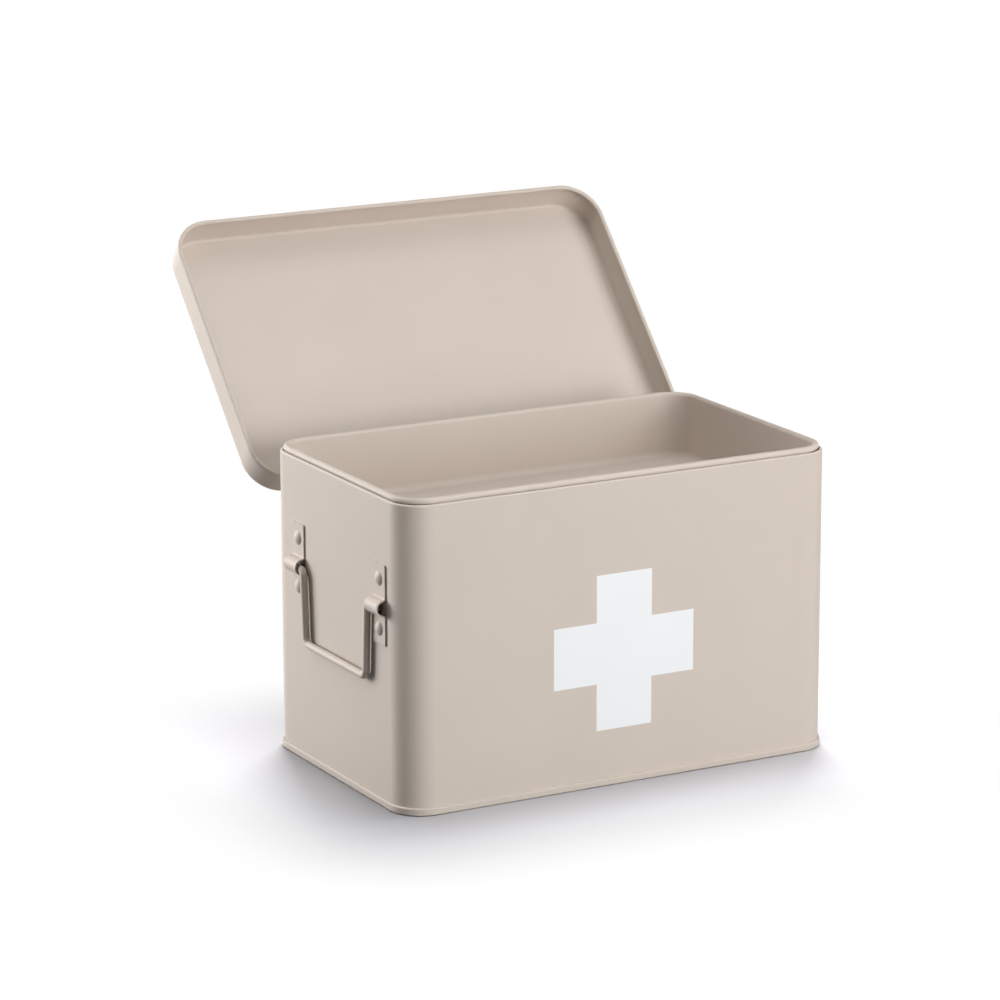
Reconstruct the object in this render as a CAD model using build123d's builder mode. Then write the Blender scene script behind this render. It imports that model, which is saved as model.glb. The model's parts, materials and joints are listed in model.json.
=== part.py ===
"""Sheet steel medicine box: slip-over lid on two hinges, lift-out tray and a bail handle on each end.

Millimetres. X runs along the front from left to right, Y from front to back, Z up. The origin is on the
floor under the middle of the box. The lid is made closed and then turned open, as it rests.
"""
import os
from math import asin, atan2, cos, degrees, hypot, radians, sin, sqrt, tan

from build123d import *

os.makedirs("parts", exist_ok=True)

# Box wall
BODY_LENGTH = 310.0
BODY_WIDTH = 188.0
WALL_TOP = 198.5
CORNER_RADIUS = 20.0
SHEET = 0.6
HEM_RADIUS = 1.2
HEM_DEPTH = 9.0
LAP_WIDTH = 9.0
LAP_END_GAP = 1.0

# Base seam
SEAM_HEIGHT = 5.0
SEAM_GAP = 0.1
SEAM_BEND = 0.6
FLOOR_TOP = 4.4
FLOOR_OVERLAP = 8.0

# Painted cross
CROSS_SIZE = 101.5
CROSS_ARM = 40.0
CROSS_CENTRE_HEIGHT = 87.5
PAINT_FILM = 0.1

# Lift-out tray
TRAY_INSET = 1.2
TRAY_CORNER_EASE = 1.5
TRAY_DEPTH = 45.0
TRAY_BEND = 5.0
BEAD_RADIUS = 2.2
BEAD_WRAP = 250.0
BEAD_SEAT_GAP = 0.1

# Lid
LID_OVERHANG = 6.2
LID_DEPTH = 22.5
LID_DRAFT = 6.4
LID_EDGE_RADIUS = 3.0
LID_SEAT_GAP = 0.3
ROLL_RADIUS = 1.5
ROLL_WRAP = 250.0
LID_OPEN_ANGLE = 132.7

# Hinges
HINGE_INSET = 60.0
HINGE_STANDOFF = 2.33
HINGE_DROP = 1.75
PIN_RADIUS = 1.0
PIN_CLEARANCE = 0.05
PIN_HEAD_RADIUS = 1.6
PIN_HEAD_HEIGHT = 0.8
LEAF_SHEET = 0.7
LEAF_BEND = 1.0
KNUCKLE_WRAP = 295.0
LID_KNUCKLE_LENGTH = 13.0
BODY_KNUCKLE_LENGTH = 6.5
KNUCKLE_GAP = 0.3
BODY_LEAF_WIDTH = 46.0
BODY_LEAF_LENGTH = 13.0
BODY_LEAF_NOTCH = 5.8
LID_LEAF_WIDTH = 22.0
LID_LEAF_LENGTH = 17.0
LID_LEAF_RISE = 2.0
LID_LEAF_NOTCH = 3.0
LEAF_CORNER = 1.5

# Handles
HANDLE_CENTRE_Y = -4.2
BRACKET_SPACING = 113.0
BRACKET_WIDTH = 16.0
BRACKET_HEIGHT = 51.6
BRACKET_CENTRE_HEIGHT = 130.9
BRACKET_SHEET = 1.0
BRACKET_CORNER = 1.2
LOOP_DROP = 1.6
LOOP_RADIUS = 4.8
LOOP_FILLET = 1.5
WIRE_RADIUS = 2.4
WIRE_LOOP_GAP = 0.34
WIRE_LEAN = 40.0
WIRE_END_INSET = 7.0
WIRE_SHOULDER_GAP = 0.3
WIRE_TOP_BEND = 3.5
WIRE_BOTTOM_BEND = 5.0
HANDLE_DROP = 47.9
HANDLE_BAR_HALF = 42.0

# Rivets
RIVET_FIT = 0.05
RIVET_EDGE_GAP = 0.2
BRACKET_RIVET_SPACING = 32.0
BRACKET_RIVET_HEAD = 4.7
BRACKET_RIVET_HEAD_HEIGHT = 1.9
BRACKET_RIVET_SHANK = 2.0
BODY_RIVET_SPACING = 34.0
BODY_RIVET_HEAD = 2.5
LID_RIVET_SPACING = 12.0
LID_RIVET_HEAD = 2.4
LID_RIVET_HEAD_HEIGHT = 1.2
LID_RIVET_HEIGHT = 7.4
LEAF_RIVET_SHANK = 1.2
TAIL_HEIGHT = 0.9
TAIL_SPREAD = 1.0
STOP_GAP = 0.3

# Places worked out from the sizes above
bead_centre_height = (WALL_TOP - HEM_RADIUS
                      + sqrt((HEM_RADIUS + BEAD_RADIUS + BEAD_SEAT_GAP) ** 2
                             - (TRAY_INSET + BEAD_RADIUS - HEM_RADIUS) ** 2))
bead_top = bead_centre_height + BEAD_RADIUS
lid_top = bead_top + LID_SEAT_GAP + SHEET
lid_edge = lid_top - LID_DEPTH
lid_length = BODY_LENGTH + 2 * LID_OVERHANG
lid_width = BODY_WIDTH + 2 * LID_OVERHANG
draft = radians(LID_DRAFT)
roll_middle = ROLL_RADIUS - SHEET / 2
hinge_y = BODY_WIDTH / 2 + HINGE_STANDOFF
hinge_z = lid_edge - HINGE_DROP
bore_radius = PIN_RADIUS + PIN_CLEARANCE
knuckle_middle = bore_radius + LEAF_SHEET / 2
knuckle_radius = bore_radius + LEAF_SHEET
hinge_x = BODY_LENGTH / 2 - HINGE_INSET
body_knuckle_end = LID_KNUCKLE_LENGTH / 2 + KNUCKLE_GAP + BODY_KNUCKLE_LENGTH
tray_length = BODY_LENGTH - 2 * TRAY_INSET
tray_width = BODY_WIDTH - 2 * TRAY_INSET
tray_corner_radius = CORNER_RADIUS + TRAY_CORNER_EASE

# Where the handle's wire lies in its loops: pulled down and outwards, a small gap from their inside
loop_centre_height = BRACKET_CENTRE_HEIGHT - LOOP_DROP
loop_centre_out = BRACKET_SHEET / 2 + LOOP_FILLET
wire_reach = LOOP_RADIUS - BRACKET_SHEET / 2 - WIRE_RADIUS - WIRE_LOOP_GAP
wire_standoff = loop_centre_out + wire_reach * cos(radians(WIRE_LEAN))
pivot_height = loop_centre_height - wire_reach * sin(radians(WIRE_LEAN))

# Where the rolled rim of the open lid comes to rest, seen from the hinge pin
rim_out = LID_OVERHANG - ROLL_RADIUS - HINGE_STANDOFF
rim_up = HINGE_DROP + ROLL_RADIUS
open_turn = radians(LID_OPEN_ANGLE)
rim_open_out = rim_out * cos(open_turn) + rim_up * sin(open_turn)
rim_open_up = rim_up * cos(open_turn) - rim_out * sin(open_turn)
body_rivet_z = hinge_z + rim_open_up
body_leaf_joggle = -rim_open_up - BODY_RIVET_HEAD - RIVET_EDGE_GAP
body_rivet_head_height = HINGE_STANDOFF + rim_open_out - ROLL_RADIUS - LEAF_SHEET - STOP_GAP

front_face = Plane(origin=(0, -BODY_WIDTH / 2, 0), x_dir=(1, 0, 0), z_dir=(0, -1, 0))
back_face = Plane(origin=(0, BODY_WIDTH / 2, 0), x_dir=(-1, 0, 0), z_dir=(0, 1, 0))
lid_back_face = Plane(origin=(0, lid_width / 2 - ROLL_RADIUS * (1 - cos(draft)),
                              lid_edge + ROLL_RADIUS * (1 + sin(draft))),
                      x_dir=(-1, 0, 0), z_dir=(0, cos(draft), sin(draft)))
lid_axis = Axis((0, hinge_y, hinge_z), (1, 0, 0))
SIDES = {"left": -1, "right": 1}
ENDS = {"front": -1, "rear": 1}


def end_face(side):
    """The outer face of the left (-1) or right (+1) wall, seen from outside."""
    return Plane(origin=(side * BODY_LENGTH / 2, 0, 0), x_dir=(0, side, 0), z_dir=(side, 0, 0))


def edge_plane(width):
    """Section plane at the middle of the front: local x runs inwards from the outer face, local y up."""
    return Plane(origin=(0, -width / 2, 0), x_dir=(0, 1, 0), z_dir=(1, 0, 0))


def ring(section, length, width, radius):
    """Sweeps a section once round a rounded rectangle."""
    with BuildLine() as path:
        run = Line((0, -width / 2), (length / 2 - radius, -width / 2))
        for quarter, side in enumerate((width, length, width, length / 2 + radius)):
            heading = radians(90 * quarter)
            bend = JernArc(start=run @ 1, tangent=(cos(heading), sin(heading)), radius=radius, arc_size=90)
            straight = side - 2 * radius
            run = PolarLine(start=bend @ 1, length=straight, angle=90 * (quarter + 1))
    with BuildPart() as swept:
        sweep(sections=section.sketch, path=path.wire())
    return swept.part


def rivet(head_radius, head_height, shank_radius, grip):
    """A rivet along Z: its domed head stands on the plane and its shank goes through the grip."""
    tail_radius = shank_radius + TAIL_SPREAD
    with BuildPart() as piece:
        with BuildSketch(Plane.XZ) as half:
            with BuildLine():
                dome = TangentArc((0, head_height), (head_radius, 0), tangent=(1, 0))
                Polyline(dome @ 1, (shank_radius, 0), (shank_radius, -grip), (tail_radius, -grip),
                         (shank_radius, -grip - TAIL_HEIGHT), (0, -grip - TAIL_HEIGHT), dome @ 0)
            make_face()
        revolve(axis=Axis.Z)
    return piece.part


def rivets(piece, face, places):
    """The same rivet at each place on a face."""
    with BuildPart(face) as group:
        with Locations(*places):
            add(piece)
    return group.part


def save(piece, name):
    """Names a finished piece and writes its file."""
    piece.label = name
    export_step(piece, f"parts/{name}.step")


def save_open(piece, name):
    """Turns a piece of the closed lid to its open rest position and writes it."""
    save(piece.rotate(lid_axis, -LID_OPEN_ANGLE), name)


# Rivet places, each on the face that it is set into
bracket_rivet_places = {
    (side, end): [(SIDES[side] * (HANDLE_CENTRE_Y + ENDS[end] * BRACKET_SPACING / 2),
                   BRACKET_CENTRE_HEIGHT + half * BRACKET_RIVET_SPACING / 2) for half in (-1, 1)]
    for side in SIDES for end in ENDS}
body_rivet_places = {
    side: [(-SIDES[side] * hinge_x + half * BODY_RIVET_SPACING / 2, body_rivet_z)
           for half in (-1, 1)] for side in SIDES}
lid_rivet_places = {
    side: [(-SIDES[side] * hinge_x + half * LID_RIVET_SPACING / 2, LID_RIVET_HEIGHT)
           for half in (-1, 1)] for side in SIDES}

# Wall: one wrapped sheet with its top folded inwards and its foot folded outwards for the seam
wall_foot = SHEET + SEAM_GAP
with BuildSketch(edge_plane(BODY_WIDTH)) as wall_section:
    with BuildLine():
        up = Line((SHEET / 2, wall_foot), (SHEET / 2, WALL_TOP - HEM_RADIUS))
        over = CenterArc((HEM_RADIUS, WALL_TOP - HEM_RADIUS), HEM_RADIUS - SHEET / 2, 180, -180)
        Line(over @ 1, (2 * HEM_RADIUS - SHEET / 2, WALL_TOP - HEM_DEPTH))
    trace(line_width=SHEET)
    with Locations((0, wall_foot)):
        Rectangle(SHEET, SEAM_HEIGHT - 2 * wall_foot, align=(Align.MAX, Align.MIN))
with BuildPart() as body_shell:
    add(ring(wall_section, BODY_LENGTH, BODY_WIDTH, CORNER_RADIUS))
    with BuildSketch(back_face) as lap:
        lap_foot = SEAM_HEIGHT + LAP_END_GAP
        with Locations((0, lap_foot)):
            Rectangle(LAP_WIDTH, WALL_TOP - HEM_RADIUS - lap_foot, align=(Align.CENTER, Align.MIN))
    extrude(amount=SHEET)
    for side in SIDES:
        with BuildSketch(end_face(SIDES[side])) as bracket_holes:
            for end in ENDS:
                with Locations(*bracket_rivet_places[side, end]):
                    Circle(BRACKET_RIVET_SHANK + RIVET_FIT)
        extrude(amount=-SHEET, mode=Mode.SUBTRACT)
        with BuildSketch(back_face) as leaf_holes:
            with Locations(*body_rivet_places[side]):
                Circle(LEAF_RIVET_SHANK + RIVET_FIT)
        extrude(amount=-SHEET, mode=Mode.SUBTRACT)
save(body_shell.part, "body_shell")

# Base: the floor panel and the edge that is seamed over the foot of the wall
band_middle = -(1.5 * SHEET + SEAM_GAP)
chuck_middle = 1.5 * SHEET + SEAM_GAP
floor_middle = FLOOR_TOP - SHEET / 2
with BuildSketch(edge_plane(BODY_WIDTH)) as seam_section:
    with BuildLine():
        FilletPolyline((-SEAM_GAP, SEAM_HEIGHT - SHEET / 2), (band_middle, SEAM_HEIGHT - SHEET / 2),
                       (band_middle, SHEET / 2), (chuck_middle, SHEET / 2),
                       (chuck_middle, floor_middle), (FLOOR_OVERLAP, floor_middle), radius=SEAM_BEND)
    trace(line_width=SHEET)
with BuildPart() as base_pan:
    add(ring(seam_section, BODY_LENGTH, BODY_WIDTH, CORNER_RADIUS))
    with BuildSketch(Plane.XY.offset(FLOOR_TOP)) as floor_panel:
        RectangleRounded(BODY_LENGTH - 2 * FLOOR_OVERLAP, BODY_WIDTH - 2 * FLOOR_OVERLAP,
                         CORNER_RADIUS - FLOOR_OVERLAP)
    extrude(amount=-SHEET)
save(base_pan.part, "base_pan")

# Cross: a film of paint on the front
with BuildPart() as cross_print:
    with BuildSketch(front_face) as cross:
        with Locations((0, CROSS_CENTRE_HEIGHT)):
            Rectangle(CROSS_SIZE, CROSS_ARM)
            Rectangle(CROSS_ARM, CROSS_SIZE)
    extrude(amount=PAINT_FILM)
save(cross_print.part, "cross_print")

# Tray: its wall hangs from a bead that lies on the folded top of the box
tray_wall_middle = 2 * BEAD_RADIUS - SHEET / 2
tray_floor = bead_top - TRAY_DEPTH
tray_bend_middle = TRAY_BEND - SHEET / 2
tray_overlap = tray_wall_middle + 2 * tray_bend_middle
with BuildSketch(edge_plane(tray_width)) as tray_section:
    with BuildLine():
        CenterArc((BEAD_RADIUS, bead_centre_height), BEAD_RADIUS - SHEET / 2, 0, BEAD_WRAP)
        down = Line((tray_wall_middle, bead_centre_height), (tray_wall_middle, tray_floor + TRAY_BEND))
        foot = CenterArc((tray_wall_middle + tray_bend_middle, tray_floor + TRAY_BEND),
                         tray_bend_middle, 180, 90)
        Line(foot @ 1, (tray_overlap, tray_floor + SHEET / 2))
    trace(line_width=SHEET)
with BuildPart() as lift_out_tray:
    add(ring(tray_section, tray_length, tray_width, tray_corner_radius))
    with BuildSketch(Plane.XY.offset(tray_floor)) as tray_panel:
        RectangleRounded(tray_length - 2 * tray_overlap, tray_width - 2 * tray_overlap,
                         tray_corner_radius - tray_overlap)
    extrude(amount=SHEET)
save(lift_out_tray.part, "lift_out_tray")

# Lid: a drawn pan whose wall leans in a little and whose rim is rolled inwards
lid_panel_middle = lid_top - SHEET / 2
wall_start = (ROLL_RADIUS - roll_middle * cos(draft), lid_edge + ROLL_RADIUS + roll_middle * sin(draft))
wall_end = (wall_start[0] + (lid_panel_middle - wall_start[1]) * tan(draft), lid_panel_middle)
lid_overlap = wall_end[0] + 2 * LID_EDGE_RADIUS
with BuildSketch(edge_plane(lid_width)) as lid_section:
    with BuildLine():
        CenterArc((ROLL_RADIUS, lid_edge + ROLL_RADIUS), roll_middle, 180 - LID_DRAFT, ROLL_WRAP)
        FilletPolyline(wall_start, wall_end, (lid_overlap, lid_panel_middle),
                       radius=LID_EDGE_RADIUS - SHEET / 2)
    trace(line_width=SHEET)
with BuildPart() as lid_shell:
    add(ring(lid_section, lid_length, lid_width, CORNER_RADIUS + LID_OVERHANG))
    with BuildSketch(Plane.XY.offset(lid_top)) as lid_panel:
        RectangleRounded(lid_length - 2 * lid_overlap, lid_width - 2 * lid_overlap,
                         CORNER_RADIUS + LID_OVERHANG - lid_overlap)
    extrude(amount=-SHEET)
    with BuildSketch(lid_back_face) as lid_holes:
        for side in SIDES:
            with Locations(*lid_rivet_places[side]):
                Circle(LEAF_RIVET_SHANK + RIVET_FIT)
    extrude(amount=-SHEET, mode=Mode.SUBTRACT)
save_open(lid_shell.part, "lid_shell")


def hinge_plane(side):
    """Section plane through the middle of a hinge: local x runs out from the pin, local y up."""
    return Plane(origin=(SIDES[side] * hinge_x, hinge_y, hinge_z), x_dir=(0, 1, 0), z_dir=(1, 0, 0))


def leaf(side, bend, tip, width):
    """A hinge leaf that wraps the pin, leaves it at a tangent towards the bend and runs on to its tip."""
    reach = hypot(*bend)
    touch = degrees(atan2(bend[1], bend[0]) + asin(knuckle_middle / reach)) - 90
    with BuildPart() as piece:
        with BuildSketch(hinge_plane(side)) as profile:
            with BuildLine():
                wrap = CenterArc((0, 0), knuckle_middle, touch - KNUCKLE_WRAP, KNUCKLE_WRAP)
                FilletPolyline(wrap @ 1, bend, tip, radius=LEAF_BEND)
            trace(line_width=LEAF_SHEET)
        extrude(amount=width / 2, both=True)
        end_face_at_tip = piece.faces().sort_by(Axis.Z)[-1 if tip[1] > 0 else 0]
        fillet(end_face_at_tip.edges().sort_by(SortBy.LENGTH)[:2], LEAF_CORNER)
    return piece.part


def on_lid_leaf(height):
    """The middle of the lid's leaf at a height above the pin, where it lies on the lid's leaning wall."""
    out = rim_out + (ROLL_RADIUS + LEAF_SHEET / 2) * cos(draft)
    up = rim_up + (ROLL_RADIUS + LEAF_SHEET / 2) * sin(draft)
    return out - (height - up) * tan(draft), height


# Hinges: two leaves and a headed pin each
body_leaf_middle = LEAF_SHEET / 2 - HINGE_STANDOFF
ear_height = BODY_LEAF_LENGTH - body_leaf_joggle
pin_half = body_knuckle_end + KNUCKLE_GAP
for side in SIDES:
    with BuildPart() as body_leaf:
        add(leaf(side, (body_leaf_middle, -body_leaf_joggle), (body_leaf_middle, -BODY_LEAF_LENGTH),
                 2 * body_knuckle_end))
        with BuildSketch(back_face) as ears:
            with Locations((-SIDES[side] * hinge_x, hinge_z - body_leaf_joggle - ear_height / 2)):
                RectangleRounded(BODY_LEAF_WIDTH, ear_height, LEAF_CORNER)
        extrude(amount=LEAF_SHEET)
        with BuildSketch(hinge_plane(side)) as body_notch:
            Rectangle(4 * knuckle_radius, 2 * BODY_LEAF_NOTCH)
        extrude(amount=LID_KNUCKLE_LENGTH / 2 + KNUCKLE_GAP, both=True, mode=Mode.SUBTRACT)
        with BuildSketch(back_face) as body_leaf_holes:
            with Locations(*body_rivet_places[side]):
                Circle(LEAF_RIVET_SHANK + RIVET_FIT)
        extrude(amount=LEAF_SHEET, mode=Mode.SUBTRACT)
    save(body_leaf.part, f"{side}_hinge_body_leaf")

    with BuildPart() as lid_leaf:
        add(leaf(side, on_lid_leaf(LID_LEAF_RISE), on_lid_leaf(LID_LEAF_LENGTH), LID_LEAF_WIDTH))
        shoulder_width = (LID_LEAF_WIDTH - LID_KNUCKLE_LENGTH) / 2
        for half in (-1, 1):
            notch_plane = hinge_plane(side).offset(half * (LID_KNUCKLE_LENGTH + shoulder_width) / 2)
            with BuildSketch(notch_plane) as lid_notch:
                Rectangle(4 * LID_OVERHANG, 2 * LID_LEAF_NOTCH)
            extrude(amount=shoulder_width / 2, both=True, mode=Mode.SUBTRACT)
        with BuildSketch(lid_back_face) as lid_leaf_holes:
            with Locations(*lid_rivet_places[side]):
                Circle(LEAF_RIVET_SHANK + RIVET_FIT)
        extrude(amount=LEAF_SHEET, mode=Mode.SUBTRACT)
    save_open(lid_leaf.part, f"{side}_hinge_lid_leaf")

    with BuildPart() as hinge_pin:
        with BuildSketch(hinge_plane(side)) as pin_section:
            Circle(PIN_RADIUS)
        extrude(amount=pin_half, both=True)
        for half in (-1, 1):
            with BuildSketch(hinge_plane(side).offset(half * pin_half)) as pin_head:
                Circle(PIN_HEAD_RADIUS)
            extrude(amount=half * PIN_HEAD_HEIGHT)
    save(hinge_pin.part, f"{side}_hinge_pin")

    body_rivet = rivet(BODY_RIVET_HEAD, body_rivet_head_height, LEAF_RIVET_SHANK, LEAF_SHEET + SHEET)
    save(rivets(body_rivet, back_face.offset(LEAF_SHEET), body_rivet_places[side]),
         f"{side}_hinge_body_rivets")
    lid_rivet = rivet(LID_RIVET_HEAD, LID_RIVET_HEAD_HEIGHT, LEAF_RIVET_SHANK, LEAF_SHEET + SHEET)
    save_open(rivets(lid_rivet, lid_back_face.offset(LEAF_SHEET), lid_rivet_places[side]),
              f"{side}_hinge_lid_rivets")

# Handle brackets: a strap with a loop pressed out of it, riveted to the end wall
strap_middle = BRACKET_SHEET / 2
for side in SIDES:
    for end in ENDS:
        bracket_y = HANDLE_CENTRE_Y + ENDS[end] * BRACKET_SPACING / 2
        strap_plane = Plane(origin=(SIDES[side] * BODY_LENGTH / 2, bracket_y, 0),
                            x_dir=(SIDES[side], 0, 0), z_dir=(0, -SIDES[side], 0))
        with BuildPart() as bracket:
            with BuildSketch(strap_plane) as strap:
                with BuildLine():
                    bend_up = loop_centre_height + LOOP_RADIUS + LOOP_FILLET
                    bend_down = loop_centre_height - LOOP_RADIUS - LOOP_FILLET
                    Line((strap_middle, BRACKET_CENTRE_HEIGHT + BRACKET_HEIGHT / 2), (strap_middle, bend_up))
                    CenterArc((loop_centre_out, bend_up), LOOP_FILLET, 180, 90)
                    CenterArc((loop_centre_out, loop_centre_height), LOOP_RADIUS, 90, -180)
                    CenterArc((loop_centre_out, bend_down), LOOP_FILLET, 90, 90)
                    Line((strap_middle, bend_down), (strap_middle, BRACKET_CENTRE_HEIGHT - BRACKET_HEIGHT / 2))
                trace(line_width=BRACKET_SHEET)
            extrude(amount=BRACKET_WIDTH / 2, both=True)
            corners = bracket.edges().filter_by(Axis.X).group_by(Axis.Z)
            fillet(corners[0] + corners[-1], BRACKET_CORNER)
            with BuildSketch(end_face(SIDES[side])) as strap_holes:
                with Locations(*bracket_rivet_places[side, end]):
                    Circle(BRACKET_RIVET_SHANK + RIVET_FIT)
            extrude(amount=BRACKET_SHEET, mode=Mode.SUBTRACT)
        save(bracket.part, f"{side}_{end}_bracket")
        bracket_rivet = rivet(BRACKET_RIVET_HEAD, BRACKET_RIVET_HEAD_HEIGHT, BRACKET_RIVET_SHANK,
                              BRACKET_SHEET + SHEET)
        save(rivets(bracket_rivet, end_face(SIDES[side]).offset(BRACKET_SHEET),
                    bracket_rivet_places[side, end]), f"{side}_{end}_bracket_rivets")

# Handles: a bent wire whose ends turn in the two loops
shoulder_half = BRACKET_SPACING / 2 - BRACKET_WIDTH / 2 - WIRE_SHOULDER_GAP - WIRE_TOP_BEND
end_half = BRACKET_SPACING / 2 + BRACKET_WIDTH / 2 - WIRE_END_INSET
bar_height = pivot_height - HANDLE_DROP
for side in SIDES:
    wire_x = SIDES[side] * (BODY_LENGTH / 2 + wire_standoff)
    half_route = [(end_half, pivot_height), (shoulder_half, pivot_height), (HANDLE_BAR_HALF, bar_height)]
    route = [(wire_x, HANDLE_CENTRE_Y - half, height) for half, height in half_route]
    route += [(wire_x, HANDLE_CENTRE_Y + half, height) for half, height in reversed(half_route)]
    with BuildPart() as handle:
        with BuildLine() as bail:
            FilletPolyline(*route, radius=(WIRE_TOP_BEND, WIRE_BOTTOM_BEND, WIRE_BOTTOM_BEND, WIRE_TOP_BEND))
        with BuildSketch(Plane(origin=bail.line @ 0, z_dir=bail.line % 0)) as wire:
            Circle(WIRE_RADIUS)
        sweep(path=bail.wire())
    save(handle.part, f"{side}_handle")

print(f"wall top {WALL_TOP}, bead top {bead_top:.2f}, lid top when closed {lid_top:.2f}")
print(f"hinge pin at y {hinge_y:.2f}, z {hinge_z:.4f}")
print(f"handle pivots at x {BODY_LENGTH / 2 + wire_standoff:.3f}, z {pivot_height:.3f}")
print(f"stop rivets at z {body_rivet_z:.2f}, heads {body_rivet_head_height:.2f} high")
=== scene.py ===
"""Looks of the sheet steel medicine box: satin powder coat, printed cross, plated pins and a pale studio."""
import json
from math import cos, radians, sin

import bpy
from mathutils import Matrix, Vector


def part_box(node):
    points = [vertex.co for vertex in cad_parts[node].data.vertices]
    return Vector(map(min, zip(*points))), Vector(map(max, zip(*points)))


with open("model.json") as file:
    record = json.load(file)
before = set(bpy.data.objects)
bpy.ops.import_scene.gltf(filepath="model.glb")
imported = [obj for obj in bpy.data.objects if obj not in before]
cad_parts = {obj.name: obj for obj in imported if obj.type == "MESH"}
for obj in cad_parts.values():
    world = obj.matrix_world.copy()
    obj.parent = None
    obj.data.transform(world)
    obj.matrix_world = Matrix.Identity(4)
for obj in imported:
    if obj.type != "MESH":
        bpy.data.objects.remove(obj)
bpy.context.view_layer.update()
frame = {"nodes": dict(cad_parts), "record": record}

MM = 0.001
WHITE = (1.0, 1.0, 1.0, 1.0)

# Camera: the photograph's view, in metres and degrees, with its lens in millimetres
CAMERA_PLACE = (-1.33219, -2.37074, 0.85218)
CAMERA_YAW = 28.64
CAMERA_PITCH = 14.20
CAMERA_ROLL = -0.15
CAMERA_LENS = 156.83
CAMERA_SENSOR = 36.0
CAMERA_CLIP_END = 100.0

# Studio: the lamps stand round a point in the box, and lengths are in metres
AIM = Vector((0.0, 0.0, 0.12))
LAMP_DISTANCE = 2.2
LAMP_SIZE = 1.2
FLOOR_HALF = 8.0
SHADOW_REACH = 0.14

# Floor: how light it looks, how much light it throws back on the box, and its tint
FLOOR_TONE = 0.50
FLOOR_BOUNCE = 0.08
FLOOR_TINT = (0.965, 0.955, 1.0, 1.0)

# Shaders: the part of a noise's range that is used, the part of the sky seen where the painted
# shade in crevices is darkest and where it ends, and the rays that a node casts to tell
NOISE_LOW = 0.3
NOISE_HIGH = 0.7
PAINTED_SHADE_DARKEST_SKY = 0.05
PAINTED_SHADE_END_SKY = 0.30
NODE_RAYS = 4


def colour(red, green, blue):
    """A colour written as it looks on screen, 0 to 255, in the linear values that shaders take."""
    return tuple((level / 255) ** 2.2 for level in (red, green, blue)) + (1.0,)


COAT = colour(204, 192, 181)
PRINT = colour(237, 239, 240)
ZINC = colour(186, 188, 190)


# Materials

class Shader:
    """A material's node tree, with short ways to add nodes and join them."""

    def __init__(self, name):
        self.material = bpy.data.materials.new(name)
        self.material.use_nodes = True
        self.nodes = self.material.node_tree.nodes
        self.links = self.material.node_tree.links
        self.surface = self.nodes["Principled BSDF"]
        self.place = self.add("ShaderNodeTexCoord").outputs["Object"]

    def add(self, kind, **settings):
        """Adds a node: settings name its inputs, or its own fields where it has no such input."""
        node = self.nodes.new(kind)
        for key, value in settings.items():
            if key in node.inputs:
                node.inputs[key].default_value = value
            else:
                setattr(node, key, value)
        return node

    def set(self, name, source):
        """Joins a source to an input of the surface, or writes a plain value there."""
        if isinstance(source, bpy.types.NodeSocket):
            self.links.new(source, self.surface.inputs[name])
        else:
            self.surface.inputs[name].default_value = source

    def remap(self, source, old_range, new_range, ease="LINEAR"):
        """A source that runs over the old range, made to run over the new one and to stop at its ends."""
        node = self.add("ShaderNodeMapRange", interpolation_type=ease)
        names = ("From Min", "From Max", "To Min", "To Max")
        for name, value in zip(names, (*old_range, *new_range)):
            node.inputs[name].default_value = value
        self.links.new(source, node.inputs["Value"])
        return node.outputs["Result"]

    def product(self, first, second):
        """Two amounts multiplied."""
        node = self.add("ShaderNodeMath", operation="MULTIPLY")
        self.links.new(first, node.inputs[0])
        self.links.new(second, node.inputs[1])
        return node.outputs["Value"]

    def vector_step(self, operation, source, other=(0, 0, 0)):
        """One step of vector arithmetic on a source."""
        node = self.add("ShaderNodeVectorMath", operation=operation)
        node.inputs[1].default_value = other
        self.links.new(source, node.inputs[0])
        return node.outputs["Value" if operation == "LENGTH" else "Vector"]

    def noise(self, grain, detail=2.0, stretch=(1, 1, 1)):
        """Noise whose features are about grain metres wide."""
        mapping = self.add("ShaderNodeMapping", Scale=stretch)
        noise = self.add("ShaderNodeTexNoise", Scale=1 / grain, Detail=detail)
        self.links.new(self.place, mapping.inputs["Vector"])
        self.links.new(mapping.outputs["Vector"], noise.inputs["Vector"])
        return noise.outputs["Fac"]

    def spread(self, source, low, high):
        """The middle of a noise's range, spread from low to high."""
        return self.remap(source, (NOISE_LOW, NOISE_HIGH), (low, high))

    def painted_crevice_shade(self, reach, least):
        """Painted shade for a base colour: one where a surface is open, and down to least deep in a hole
        narrower than reach metres.
        """
        sky = self.add("ShaderNodeAmbientOcclusion", samples=NODE_RAYS, Distance=reach)
        return self.remap(sky.outputs["AO"], (PAINTED_SHADE_DARKEST_SKY, PAINTED_SHADE_END_SKY), (least, 1.0), ease="SMOOTHSTEP")

    def tint(self, base, amount):
        """The base colour, made lighter or darker by an amount."""
        mix = self.add("ShaderNodeMix", data_type="RGBA", blend_type="MULTIPLY")
        mix.inputs["Factor"].default_value = 1.0
        sockets = [socket for socket in mix.inputs if socket.type == "RGBA"]
        sockets[0].default_value = base
        self.links.new(amount, sockets[1])
        return next(socket for socket in mix.outputs if socket.type == "RGBA")

    def soft_edges(self, radius):
        """The surface's normal, with its edges rounded by radius metres."""
        return self.add("ShaderNodeBevel", samples=NODE_RAYS, Radius=radius).outputs["Normal"]

    def bump(self, height, depth, under=None):
        """A relief of depth metres, laid over another one."""
        node = self.add("ShaderNodeBump", Strength=1.0, Distance=depth)
        self.links.new(height, node.inputs["Height"])
        if under:
            self.links.new(under, node.inputs["Normal"])
        return node.outputs["Normal"]


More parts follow.
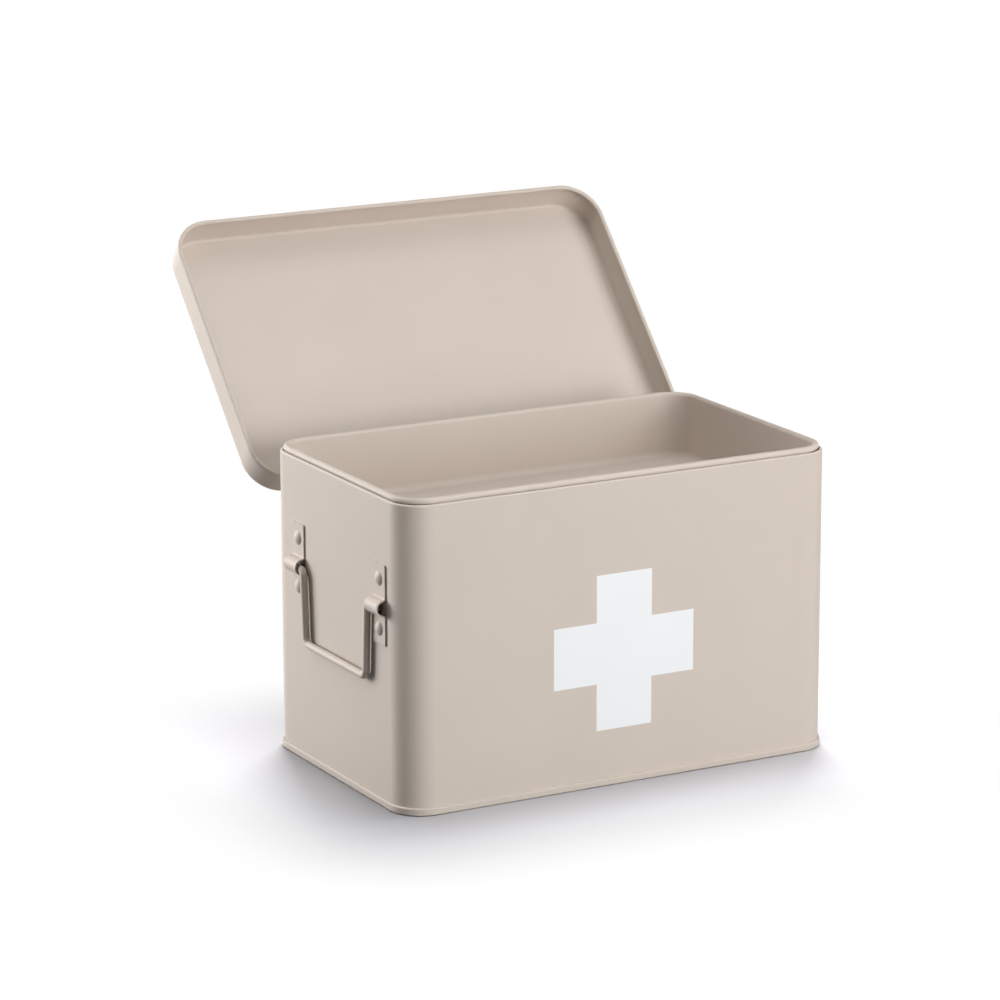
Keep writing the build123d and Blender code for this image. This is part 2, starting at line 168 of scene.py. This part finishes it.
def powder_coat():
    """Satin taupe powder coat: fine orange peel on slightly wavy sheet, and painted shade that darkens its
    colour in tight holes.
    """
    coat = Shader("taupe_coat")
    mottle = coat.spread(coat.noise(grain=60 * MM, detail=3.0), low=0.985, high=1.015)
    # Painted shade: the coat's colour is darkened where little of the sky is seen, in holes and crevices
    crevice_shade = coat.painted_crevice_shade(reach=8 * MM, least=0.20)
    coat.set("Base Color", coat.tint(COAT, coat.product(mottle, crevice_shade)))
    coat.set("Roughness", coat.spread(coat.noise(grain=0.5 * MM), low=0.50, high=0.62))
    coat.set("Specular IOR Level", 0.32)
    edges = coat.soft_edges(radius=0.2 * MM)
    waves = coat.bump(coat.noise(grain=90 * MM, detail=0.0), depth=0.15 * MM, under=edges)
    coat.set("Normal", coat.bump(coat.noise(grain=1.1 * MM), depth=0.012 * MM, under=waves))
    return coat.material


def print_white():
    """White screen print, smoother than the coat under it."""
    ink = Shader("white_print")
    mottle = ink.spread(ink.noise(grain=30 * MM, detail=3.0), low=0.985, high=1.0)
    ink.set("Base Color", ink.tint(PRINT, mottle))
    ink.set("Roughness", ink.spread(ink.noise(grain=0.6 * MM), low=0.38, high=0.46))
    ink.set("Normal", ink.bump(ink.noise(grain=1.3 * MM), depth=0.006 * MM))
    return ink.material


def pin_steel():
    """Zinc plated wire, drawn along its length."""
    steel = Shader("pin_steel")
    steel.set("Base Color", steel.tint(ZINC, steel.spread(steel.noise(grain=8 * MM), low=0.92, high=1.0)))
    steel.set("Metallic", 1.0)
    drawn_lines = steel.noise(grain=0.15 * MM, stretch=(0.02, 1, 1))
    steel.set("Roughness", steel.spread(drawn_lines, low=0.25, high=0.40))
    steel.set("Normal", steel.bump(drawn_lines, depth=0.01 * MM))
    return steel.material


def dress(materials):
    """Gives each CAD node the material of its slot in the record."""
    for row in frame["record"]["subparts"]:
        node = frame["nodes"][row["node"]]
        node.data.materials.clear()
        node.data.materials.append(materials[row["material_slot"]])


# Surroundings

def seen_rays(nodes, links):
    """One for rays from the camera and for reflected and refracted ones, nought for diffuse ones."""
    rays = nodes.new("ShaderNodeLightPath")
    total = rays.outputs["Is Camera Ray"]
    for name in ("Is Glossy Ray", "Is Transmission Ray"):
        most = nodes.new("ShaderNodeMath")
        most.operation = "MAXIMUM"
        links.new(total, most.inputs[0])
        links.new(rays.outputs[name], most.inputs[1])
        total = most.outputs["Value"]
    return total


def distance_from_box(floor):
    """How far a point of the floor lies outside the base of the box, whose middle is the origin."""
    _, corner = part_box("base_pan")
    spot = floor.vector_step("ABSOLUTE", floor.place)
    spot = floor.vector_step("SUBTRACT", spot, (corner[0], corner[1], 0))
    spot = floor.vector_step("MAXIMUM", spot)
    return floor.vector_step("LENGTH", spot)


def floor_material():
    """White floor that takes the shadow round the box and fades into the white surroundings farther off."""
    floor = Shader("studio_floor")
    seen = seen_rays(floor.nodes, floor.links)
    tone = floor.remap(seen, (0.0, 1.0), (FLOOR_BOUNCE, FLOOR_TONE))
    floor.set("Base Color", floor.tint(FLOOR_TINT, tone))
    floor.set("Roughness", 1.0)
    floor.set("Specular IOR Level", 0.0)
    fade = floor.remap(distance_from_box(floor), (0.0, SHADOW_REACH), (0.0, 1.0), ease="SMOOTHSTEP")
    white = floor.add("ShaderNodeEmission", Strength=1.0)
    blend = floor.add("ShaderNodeMixShader")
    floor.links.new(floor.product(fade, seen), blend.inputs[0])
    floor.links.new(floor.surface.outputs["BSDF"], blend.inputs[1])
    floor.links.new(white.outputs["Emission"], blend.inputs[2])
    floor.links.new(blend.outputs["Shader"], floor.nodes["Material Output"].inputs["Surface"])
    return floor.material


def make_floor():
    """One large flat floor under the box."""
    mesh = bpy.data.meshes.new("studio_floor")
    half = FLOOR_HALF
    corners = [(-half, -half, 0), (half, -half, 0), (half, half, 0), (-half, half, 0)]
    mesh.from_pydata(corners, [], [(0, 1, 2, 3)])
    mesh.materials.append(floor_material())
    floor = bpy.data.objects.new("studio_floor", mesh)
    bpy.context.scene.collection.objects.link(floor)
    return floor


def make_world():
    """White surroundings that show and reflect, and give no light of their own to the box."""
    world = bpy.data.worlds.new("studio")
    world.use_nodes = True
    nodes, links = world.node_tree.nodes, world.node_tree.links
    background = nodes["Background"]
    background.inputs["Color"].default_value = WHITE
    links.new(seen_rays(nodes, links), background.inputs["Strength"])
    bpy.context.scene.world = world


def softbox(name, azimuth, elevation, power, receivers):
    """A square soft lamp aimed at the box, in degrees and watts. Azimuth 0 is in front, 90 to the right."""
    turn, rise = radians(azimuth), radians(elevation)
    towards = Vector((sin(turn) * cos(rise), -cos(turn) * cos(rise), sin(rise)))
    lamp = bpy.data.lights.new(name, "AREA")
    lamp.size = LAMP_SIZE
    lamp.energy = power
    lamp_object = bpy.data.objects.new(name, lamp)
    lamp_object.location = AIM + towards * LAMP_DISTANCE
    lamp_object.rotation_mode = "QUATERNION"
    lamp_object.rotation_quaternion = towards.to_track_quat("Z", "Y")
    lamp_object.visible_camera = False
    lamp_object.light_linking.receiver_collection = receivers
    bpy.context.scene.collection.objects.link(lamp_object)


def make_lamps(floor):
    """Lamps for the box, and others for the floor alone, whose shadow falls forwards."""
    floor_alone = bpy.data.collections.new("floor_alone")
    floor_alone.objects.link(floor)
    all_but_floor = bpy.data.collections.new("all_but_floor")
    all_but_floor.objects.link(floor)
    all_but_floor.collection_objects[0].light_linking.link_state = "EXCLUDE"
    softbox("rear_left_low", -140, 10, 57.5, all_but_floor)
    softbox("left_high", -115, 60, 12.5, all_but_floor)
    softbox("front_low", 18, 10, 43.0, all_but_floor)
    softbox("front_high", 10, 50, 12.0, all_but_floor)
    softbox("overhead", 0, 88, 8.0, all_but_floor)
    softbox("floor_rear_right", 150, 35, 90.0, floor_alone)
    softbox("floor_rear", 180, 35, 13.0, floor_alone)
    softbox("floor_right", 90, 35, 24.0, floor_alone)
    softbox("floor_overhead", 0, 88, 59.0, floor_alone)


def make_camera():
    """The photograph's camera."""
    lens = bpy.data.cameras.new("photo_camera")
    lens.lens = CAMERA_LENS
    lens.sensor_width = CAMERA_SENSOR
    lens.clip_end = CAMERA_CLIP_END
    camera = bpy.data.objects.new("photo_camera", lens)
    turn = (Matrix.Rotation(radians(-CAMERA_YAW), 4, "Z")
            @ Matrix.Rotation(radians(90 - CAMERA_PITCH), 4, "X")
            @ Matrix.Rotation(radians(CAMERA_ROLL), 4, "Z"))
    camera.matrix_world = Matrix.Translation(CAMERA_PLACE) @ turn
    bpy.context.scene.collection.objects.link(camera)
    bpy.context.scene.camera = camera


make_camera()
make_world()
make_lamps(make_floor())
dress({"taupe_coat": powder_coat(), "white_print": print_white(), "pin_steel": pin_steel()})

bpy.context.scene.view_settings.view_transform = "Standard"
